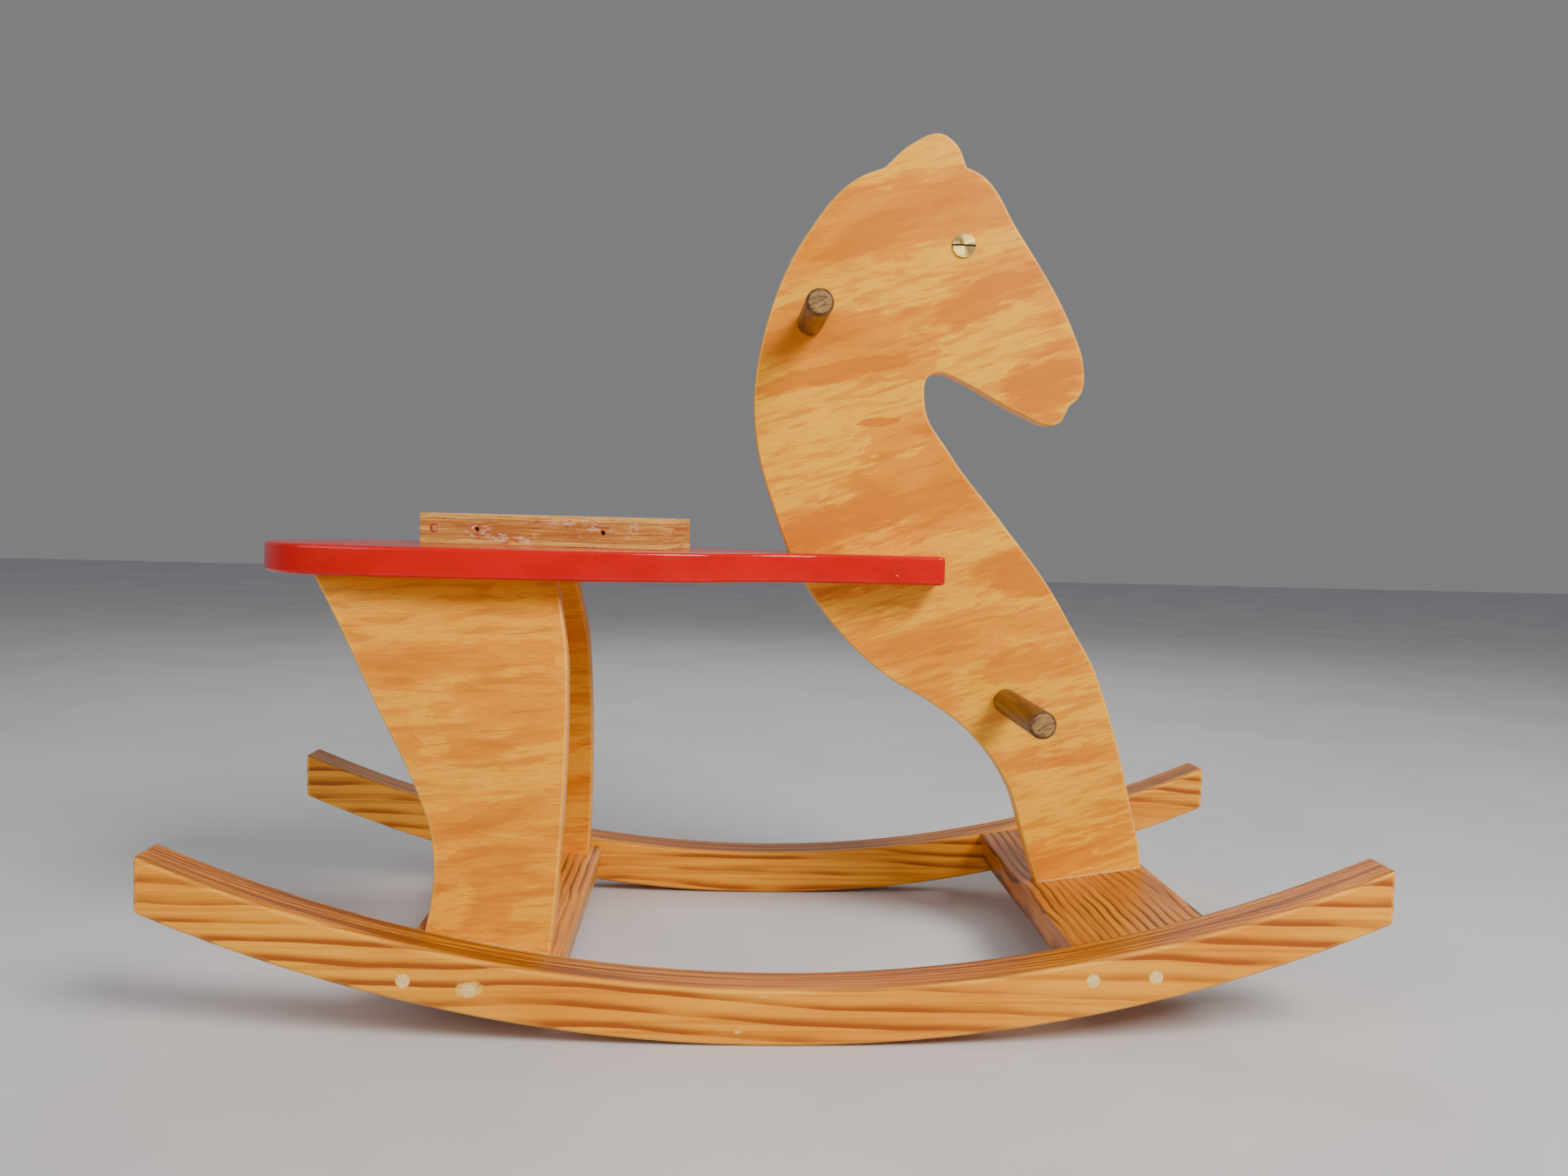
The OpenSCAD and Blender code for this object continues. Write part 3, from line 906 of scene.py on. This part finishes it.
def eased_copy(node: str, rounding: Rounding,
               leave: Callable[[bmesh.types.BMEdge], bool] = leave_none) -> bpy.types.Object:
    """Copy a node's solid and round its outer edges.

    Args:
        node: The node's name.
        rounding: How its edges are rounded.
        leave: Says which edges stay sharp because another piece meets them.

    Returns:
        The new piece, which stands for the node.
    """
    bm = bmesh.new()
    bm.from_mesh(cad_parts[node].data)
    bmesh.ops.remove_doubles(bm, verts=bm.verts, dist=MERGE_WITHIN)
    bmesh.ops.dissolve_limit(bm, angle_limit=FLAT_WITHIN, verts=bm.verts, edges=bm.edges)
    bm.normal_update()
    rounded_edge = bm.faces.layers.float.new(ROUNDED_EDGE)
    edges = [edge for edge in bm.edges
             if len(edge.link_faces) == 2
             and edge.calc_face_angle(0.0) > rounding.sharpest
             and not leave(edge)]
    made = bmesh.ops.bevel(
        bm, geom=long_runs(edges, rounding.least_run), offset=rounding.radius, offset_type="OFFSET",
        affect="EDGES", segments=rounding.steps, profile=0.5, material=-1, clamp_overlap=False)
    # Mark the bevel faces, which the materials lighten as painted highlight.
    for face in made["faces"]:
        face[rounded_edge] = 1.0
    piece = shown(node + "_shaped", bm)
    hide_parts(node)
    return piece


def dress(piece: bpy.types.Object, material: bpy.types.Material) -> None:
    """Give a piece one material all over.

    Args:
        piece: The piece.
        material: Its material.
    """
    if not piece.material_slots:
        piece.data.materials.append(material)
    for slot in piece.material_slots:
        slot.material = material


def place(piece: bpy.types.Object, material: bpy.types.Material, slot: str, body: str = HORSE) -> None:
    """Dress a new piece and let it ride on a body.

    Args:
        piece: The new piece.
        material: Its material.
        slot: The record's material slot; not used.
        body: The body that it rides on.
    """
    dress(piece, material)
    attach(piece, body)
    LOG.info("%s: %d faces, on %s", piece.name, len(piece.data.polygons), body)


@lru_cache(maxsize=None)
def box_of(node: str) -> tuple[Vector, Vector]:
    """Give a node's lowest and highest corners, measured once."""
    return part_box(node)


def middle_of(edge: bmesh.types.BMEdge) -> Vector:
    """Find the middle of an edge."""
    return (edge.verts[0].co + edge.verts[1].co) / 2


# --- The sub-assemblies -------------------------------------------------------------------


@dataclass
class Rockers:
    """The two curved pine runners, and the plugs over their screws."""

    easing: Rounding = Rounding(3.5 * MM)
    spacing: float = 5.4 * MM
    steepness: float = 22.0
    plug_smears: tuple[Smear, ...] = (
        Smear(-219, 41, 10, 6), Smear(-10, 37, 4, 0.9), Smear(-28, 11, 2.6, 1.5))

    def finish(self, name: str, smears: tuple[Smear, ...]) -> bpy.types.Material:
        """Make the runners' pine.

        Args:
            name: The material's name.
            smears: The filler rubbed about on this runner.

        Returns:
            The material.
        """
        # The 0.45 is the painted shade on the runners' upward faces.
        return RingPine(name, Run.LENGTHWISE, tint(254, 200, 80), tint(246, 180, 62), tint(194, 126, 44),
                        self.spacing, self.steepness, 2.3, 0.45, smears).build()

    def build(self) -> None:
        """Shape and dress both runners, and dress their plugs."""
        for node, smears in (("rocker_right", self.plug_smears), ("rocker_left", ())):
            place(eased_copy(node, self.easing), self.finish(node + "_pine", smears), "rocker_pine")
        filler = Speckled("plug_filler", tint(252, 218, 148), tint(228, 182, 104), 2.2 * MM, 0.42,
                          coat=0.2)
        dress(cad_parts["rocker_plugs"], filler.build())


@dataclass
class Crossboards:
    """The two pine planks between the runners, each rising towards the nearer end."""

    easing: Rounding = Rounding(1.5 * MM, 3)
    thickness: float = 28 * MM
    tilt: float = math.radians(8.5)

    def top_at(self, node: str, x: float) -> float:
        """Find the height of a crossboard's top face.

        Args:
            node: front_crossboard or rear_crossboard.
            x: The place along the horse, in metres.

        Returns:
            The height, in metres.
        """
        low, high = box_of(node)
        away = x - low.x if node.startswith("front") else high.x - x
        return low.z + self.thickness * math.cos(self.tilt) + away * math.tan(self.tilt)

    def meets_rocker(self, edge: bmesh.types.BMEdge) -> bool:
        """Say whether an edge lies against a runner."""
        reach = box_of("rear_crossboard")[1].y - 0.2 * MM
        return all(abs(vertex.co.y) > reach for vertex in edge.verts)

    def build(self) -> None:
        """Shape and dress both planks."""
        front = RingPine("front_board_pine", Run.CROSSWISE, tint(230, 172, 88), tint(208, 144, 68),
                         tint(146, 94, 42), 7.4 * MM, 24.0, 2.4, bend=110 * MM)
        rear = RingPine("rear_board_pine", Run.CROSSWISE, tint(240, 186, 104), tint(222, 162, 84),
                        tint(158, 104, 54), 6.6 * MM, 20.0, 2.0, bend=130 * MM)
        for node, pine in (("front_crossboard", front), ("rear_crossboard", rear)):
            place(eased_copy(node, self.easing, self.meets_rocker), pine.build(), pine.name)


@dataclass
class PanelWork:
    """What the head panel and the legs share: sawn plywood whose cut ends stay sharp."""

    easing: Rounding = Rounding(2.2 * MM)
    foot_reach: float = 120 * MM

    def meets_neighbour(self, edge: bmesh.types.BMEdge) -> bool:
        """Say whether an edge lies on the seat's underside or on a crossboard.

        Args:
            edge: The edge.

        Returns:
            True where a neighbour covers it.
        """
        lying = any(abs(face.normal.z) > 0.95 for face in edge.link_faces)
        height = middle_of(edge).z
        at_seat = abs(height - box_of("seat_board")[0].z) < MM
        return lying and (height < self.foot_reach or at_seat)


@dataclass
class HeadPanel(PanelWork):
    """The flat panel that is head, neck and foot in one."""

    rise: float = 17.0
    patches: tuple[Patch, ...] = (
        Patch(105, 640, 105, 34, 12, 0.20),
        Patch(130, 693, 40, 13, 8, -0.30),
        Patch(10, 535, 42, 24, 8, 0.20),
        Patch(45, 503, 78, 8, 14, 0.34),
        Patch(168, 566, 62, 13, 30, 0.36),
        Patch(95, 572, 58, 16, 16, -0.20),
        Patch(60, 478, 75, 13, 12, -0.36),
        Patch(175, 520, 48, 18, 34, -0.34),
        Patch(212, 600, 34, 22, 30, 0.06),
        Patch(226, 495, 38, 28, 34, 0.34),
        Patch(118, 412, 74, 40, 22, 0.30),
        Patch(28, 432, 44, 26, 14, -0.38),
        Patch(82, 462, 17, 3.5, 5, 0.50),
        Patch(50, 372, 55, 20, 18, 0.26),
        Patch(165, 352, 40, 12, 24, -0.30),
        Patch(212, 334, 40, 17, -8, 0.36),
        Patch(120, 312, 62, 12, 4, -0.24),
        Patch(62, 316, 34, 7, 6, 0.22),
        Patch(110, 272, 70, 12, 10, 0.16),
        Patch(222, 258, 52, 14, 14, 0.22),
        Patch(270, 205, 44, 16, 18, -0.26),
        Patch(250, 130, 70, 34, 12, -0.14),
        Patch(255, 172, 40, 5, 10, 0.22),
    )

    def build(self) -> None:
        """Shape and dress the panel."""
        veneer = Veneer("head_veneer", tint(255, 206, 70), tint(247, 184, 56), tint(226, 154, 44),
                        self.rise, self.patches)
        place(eased_copy("head_panel", self.easing, self.meets_neighbour), veneer.build(), "panel_ply")


@dataclass
class Legs(PanelWork):
    """The two splayed panels that carry the rear of the seat."""

    rise: float = 4.0
    patches: tuple[Patch, ...] = (
        Patch(-255, 262, 90, 12, 2, 0.16),
        Patch(-215, 196, 60, 7, 12, 0.20),
        Patch(-338, 308, 22, 16, -30, -0.34),
        Patch(-270, 205, 26, 10, -60, -0.22),
        Patch(-245, 80, 18, 12, 30, -0.34),
        Patch(-205, 150, 50, 8, 20, 0.14),
        Patch(-210, 118, 50, 10, 6, 0.14),
    )

    def splay(self) -> float:
        """Work out how far the legs lean, from where they start and end.

        Returns:
            The lean, in degrees.
        """
        low, high = box_of("leg_right")
        inner_foot = high.y
        thickness = box_of("head_panel")[1].y - box_of("head_panel")[0].y
        return math.degrees(math.atan((inner_foot - low.y - thickness) / (high.z - low.z)))

    def build(self) -> None:
        """Shape and dress both legs."""
        lean = self.splay()
        for node, side in (("leg_right", 1), ("leg_left", -1)):
            veneer = Veneer(node + "_veneer", tint(251, 196, 66), tint(244, 180, 56), tint(218, 148, 44),
                            self.rise, self.patches, side * lean, 0.54)
            place(eased_copy(node, self.easing, self.meets_neighbour), veneer.build(), "leg_ply")


@dataclass
class Seat:
    """The red board with the fork that clasps the neck, and the filler over its screws."""

    easing: Rounding = Rounding(3.0 * MM)
    filler_radius: float = 5 * MM
    filler_deep: float = 4 * MM
    filler_x: float = 102 * MM
    filler_rim: float = 1.1 * MM
    filler_sides: int = 40
    dish: float = 0.5 * MM

    def meets_panel(self, edge: bmesh.types.BMEdge) -> bool:
        """Say whether an edge lies along the slot that holds the neck."""
        half = box_of("head_panel")[1].y + 0.3 * MM
        return all(abs(vertex.co.y) < half and vertex.co.x > -60 * MM for vertex in edge.verts)

    def fork_filler(self, side: int) -> bpy.types.Object:
        """Make the dished filler in one prong.

        Args:
            side: -1 for the horse's right, 1 for its left.

        Returns:
            The filler.
        """
        low, high = box_of("fork_fillers")
        bm = bmesh.new()
        bmesh.ops.create_cone(bm, cap_ends=True, segments=self.filler_sides, radius1=self.filler_radius,
                              radius2=self.filler_radius, depth=self.filler_deep)
        outer = max(bm.faces, key=lambda face: face.calc_center_median().z)
        bmesh.ops.inset_region(bm, faces=[outer], thickness=self.filler_rim)
        bmesh.ops.translate(bm, verts=outer.verts, vec=(0, 0, -self.dish))
        turn = Matrix.Rotation(math.radians(-90 * side), 4, "X")
        centre = Vector((self.filler_x, side * (high.y - self.filler_deep / 2), (low.z + high.z) / 2))
        bmesh.ops.transform(bm, matrix=Matrix.Translation(centre) @ turn, verts=bm.verts)
        return shown("fork_filler_right" if side < 0 else "fork_filler_left", bm)

    def build(self) -> None:
        """Shape and dress the seat and its fillers."""
        # The third colour is the pink of the rounded edges: sparse paint and painted highlight.
        paint = Lacquer("seat_lacquer", tint(214, 0, 0), tint(194, 0, 0), tint(232, 44, 32)).build()
        place(eased_copy("seat_board", self.easing, self.meets_panel), paint, "seat_lacquer")
        fillers = [self.fork_filler(side) for side in (-1, 1)]
        for filler in fillers:
            place(filler, paint, "seat_lacquer")
        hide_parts("fork_fillers")
        dress(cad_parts["seat_leg_fillers"], paint)


@dataclass
class Dowels:
    """The handle and the footrest, through the panel from side to side."""

    easing: Rounding = Rounding(0.7 * MM, 3, math.radians(30), 0.04)

    def build(self) -> None:
        """Shape and dress both dowels."""
        stain = StainedDowel("dowel_walnut", tint(132, 90, 46), tint(84, 54, 28), tint(164, 124, 74))
        walnut = stain.build()
        for node in ("handle_dowel", "footrest_dowel"):
            place(eased_copy(node, self.easing), walnut, stain.name)


@dataclass
class Eye:
    """The slotted brass bolt and sleeve nut that make an eye on each side."""

    nodes: tuple[str, ...] = ("eye_bolt", "eye_nut")

    def build(self) -> None:
        """Dress both brass heads, whose shape is already right."""
        low, high = box_of("eye_nut")
        middle = ((low.x + high.x) / 2, 0.0, (low.z + high.z) / 2)
        brass = TurnedBrass("eye_brass", middle).build()
        for node in self.nodes:
            dress(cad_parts[node], brass)
            LOG.info("%s: dressed in brass", node)


@dataclass
class LooseBlock:
    """The bare block that lies on the seat, with a filled hole and two open ones."""

    easing: Rounding = Rounding(0.8 * MM, 2)

    def build(self) -> None:
        """Shape and dress the block and its plug."""
        ply = RawPly("block_ply", tint(246, 202, 118), tint(204, 142, 72),
                     box_of("seat_board")[1].z).build()
        place(eased_copy("seat_block", self.easing), ply, "block_ply", BLOCK)
        low, high = box_of("block_plug")
        plug = StainedPlug("block_plug_paint", tuple((low + high) / 2), (high.z - low.z) / 2)
        dress(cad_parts["block_plug"], plug.build())


@dataclass
class GlueBeads:
    """Dried glue squeezed out where the panels stand on the crossboards."""

    boards: Crossboards
    legs: Legs
    radius: float = 1.1 * MM
    steps: int = 44
    sides: int = 10
    thinnest: float = 0.45
    neck_foot: Pair = (238 * MM, 324 * MM)
    leg_foot: Pair = (-262 * MM, -170 * MM)
    draws: random.Random = field(default_factory=lambda: random.Random(7))

    def bead(self, name: str, start: Vector, end: Vector) -> bpy.types.Object:
        """Draw one uneven bead from a start to an end.

        Args:
            name: The bead's name.
            start: Where it starts, on the board.
            end: Where it ends, on the board.

        Returns:
            The bead.
        """
        way = (end - start) / self.steps
        turn = way.to_track_quat("Z", "Y").to_matrix().to_4x4()
        bm = bmesh.new()
        tip = bmesh.ops.create_circle(bm, cap_ends=True, segments=self.sides, radius=self.radius * 0.4)
        bmesh.ops.transform(bm, matrix=Matrix.Translation(start) @ turn, verts=tip["verts"])
        last = bm.faces[:]
        for step in range(self.steps):
            made = bmesh.ops.extrude_face_region(bm, geom=last)["geom"]
            if step:
                bmesh.ops.delete(bm, geom=last, context="FACES_ONLY")
            last = [item for item in made if isinstance(item, bmesh.types.BMFace)]
            ring = [item for item in made if isinstance(item, bmesh.types.BMVert)]
            bmesh.ops.translate(bm, verts=ring, vec=way)
            centre = start + way * (step + 1)
            swell = self.radius * self.draws.uniform(self.thinnest, 1.0)
            now = sum((vertex.co - centre).length for vertex in ring) / len(ring)
            bmesh.ops.scale(bm, vec=(swell / now,) * 3, space=Matrix.Translation(-centre), verts=ring)
        bmesh.ops.recalc_face_normals(bm, faces=bm.faces)
        return shown(name, bm, math.radians(80))

    def build(self) -> None:
        """Draw the beads along the foot of the head panel and of both legs."""
        glue = Speckled("dried_glue", tint(236, 190, 112), tint(204, 148, 72), 3 * MM, 0.30,
                        coat=0.4).build()
        panel_side = box_of("head_panel")[1].y
        leg_low = box_of("leg_right")[0]
        slope = math.tan(math.radians(self.legs.splay()))
        for side in (-1, 1):
            hand = "right" if side < 0 else "left"
            on_front = [Vector((x, side * panel_side, self.boards.top_at("front_crossboard", x)))
                        for x in self.neck_foot]
            place(self.bead("neck_glue_" + hand, *on_front), glue, "plug_filler")
            on_rear = []
            for x in self.leg_foot:
                height = self.boards.top_at("rear_crossboard", x)
                outward = -leg_low.y - (height - leg_low.z) * slope
                on_rear.append(Vector((x, side * outward, height)))
            place(self.bead("leg_glue_" + hand, *on_rear), glue, "plug_filler")


@dataclass
class HiddenScrews:
    """The zinc wood screws inside the joints."""

    nodes: tuple[str, ...] = ("rocker_screws", "neck_foot_screws", "leg_foot_screws",
                              "seat_leg_screws", "fork_screws")

    def build(self) -> None:
        """Dress every group of screws."""
        zinc = Speckled("screw_zinc", tint(196, 198, 202), tint(150, 152, 158), 2 * MM, 0.34, 1.0).build()
        for node in self.nodes:
            dress(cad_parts[node], zinc)
            LOG.info("%s: dressed in zinc", node)


# --- The studio ---------------------------------------------------------------------------


@dataclass(frozen=True)
class Softbox:
    """One large soft light: where it stands and its size in metres, its power in watts, its colour."""

    name: str
    stands: Triple
    size: float
    power: float
    colour: Colour


@dataclass
class Studio:
    """A pale floor, soft lights and the camera."""

    eye: Triple = (-0.0492, -1.0921, 0.3795)
    yaw: float = 2.99
    pitch: float = -3.226
    roll: float = 1.463
    lens: float = 29.12
    floor_size: float = 14.0
    sensor: float = 36.0
    room: Colour = (0.80, 0.82, 0.85)
    room_strength: float = 0.26
    lights: tuple[Softbox, ...] = (
        Softbox("key_light", (1.3, -1.7, 1.9), 1.1, 84.0, (1.0, 0.95, 0.88)),
        Softbox("fill_light", (-2.0, -1.5, 1.4), 1.8, 24.0, (0.94, 0.97, 1.0)),
        Softbox("back_light", (0.2, 1.9, 1.9), 1.6, 16.0, (1.0, 0.97, 0.92)),
    )

    def set_camera(self) -> None:
        """Stand the camera at the horse's right side, a little above seat height."""
        data = bpy.data.cameras.new("studio_camera")
        data.lens = self.lens
        data.sensor_width = self.sensor
        camera = bpy.data.objects.new("studio_camera", data)
        turn = (Matrix.Rotation(-math.radians(self.yaw), 4, "Z")
                @ Matrix.Rotation(math.radians(90 + self.pitch), 4, "X")
                @ Matrix.Rotation(math.radians(self.roll), 4, "Z"))
        camera.matrix_world = Matrix.Translation(self.eye) @ turn
        bpy.context.scene.collection.objects.link(camera)
        bpy.context.scene.camera = camera

    def set_floor(self) -> None:
        """Lay the floor that the horse stands on."""
        bm = bmesh.new()
        bmesh.ops.create_grid(bm, x_segments=1, y_segments=1, size=self.floor_size / 2)
        mesh = bpy.data.meshes.new("studio_floor")
        bm.to_mesh(mesh)
        bm.free()
        floor = bpy.data.objects.new("studio_floor", mesh)
        bpy.context.scene.collection.objects.link(floor)
        dress(floor, Speckled("pale_floor", tint(214, 214, 216), tint(206, 206, 209), 0.3, 0.6).build())

    def set_lights(self) -> None:
        """Hang the softboxes and set the light of the room."""
        target = (Vector(cad_box[0]) + Vector(cad_box[1])) / 2
        for box in self.lights:
            data = bpy.data.lights.new(box.name, "AREA")
            data.size = box.size
            data.energy = box.power
            data.color = box.colour
            light = bpy.data.objects.new(box.name, data)
            aim = (target - Vector(box.stands)).to_track_quat("-Z", "Y").to_matrix().to_4x4()
            light.matrix_world = Matrix.Translation(box.stands) @ aim
            bpy.context.scene.collection.objects.link(light)
        world = bpy.data.worlds.new("studio_room")
        world.use_nodes = True
        room = world.node_tree.nodes["Background"]
        room.inputs["Color"].default_value = (*self.room, 1.0)
        room.inputs["Strength"].default_value = self.room_strength
        bpy.context.scene.world = world

    def build(self) -> None:
        """Set the studio up."""
        self.set_camera()
        self.set_floor()
        self.set_lights()


def main() -> None:
    """Build the horse piece by piece, then the studio around it."""
    logging.basicConfig(level=logging.INFO, format="%(message)s")
    boards = Crossboards()
    legs = Legs()
    parts = (Studio(), Rockers(), boards, HeadPanel(), legs, Seat(), Dowels(), Eye(), LooseBlock(),
             GlueBeads(boards, legs), HiddenScrews())
    for part in parts:
        part.build()
        LOG.info("%s: done", type(part).__name__)
    bpy.context.view_layer.update()


if __name__ == "__main__":
    main()
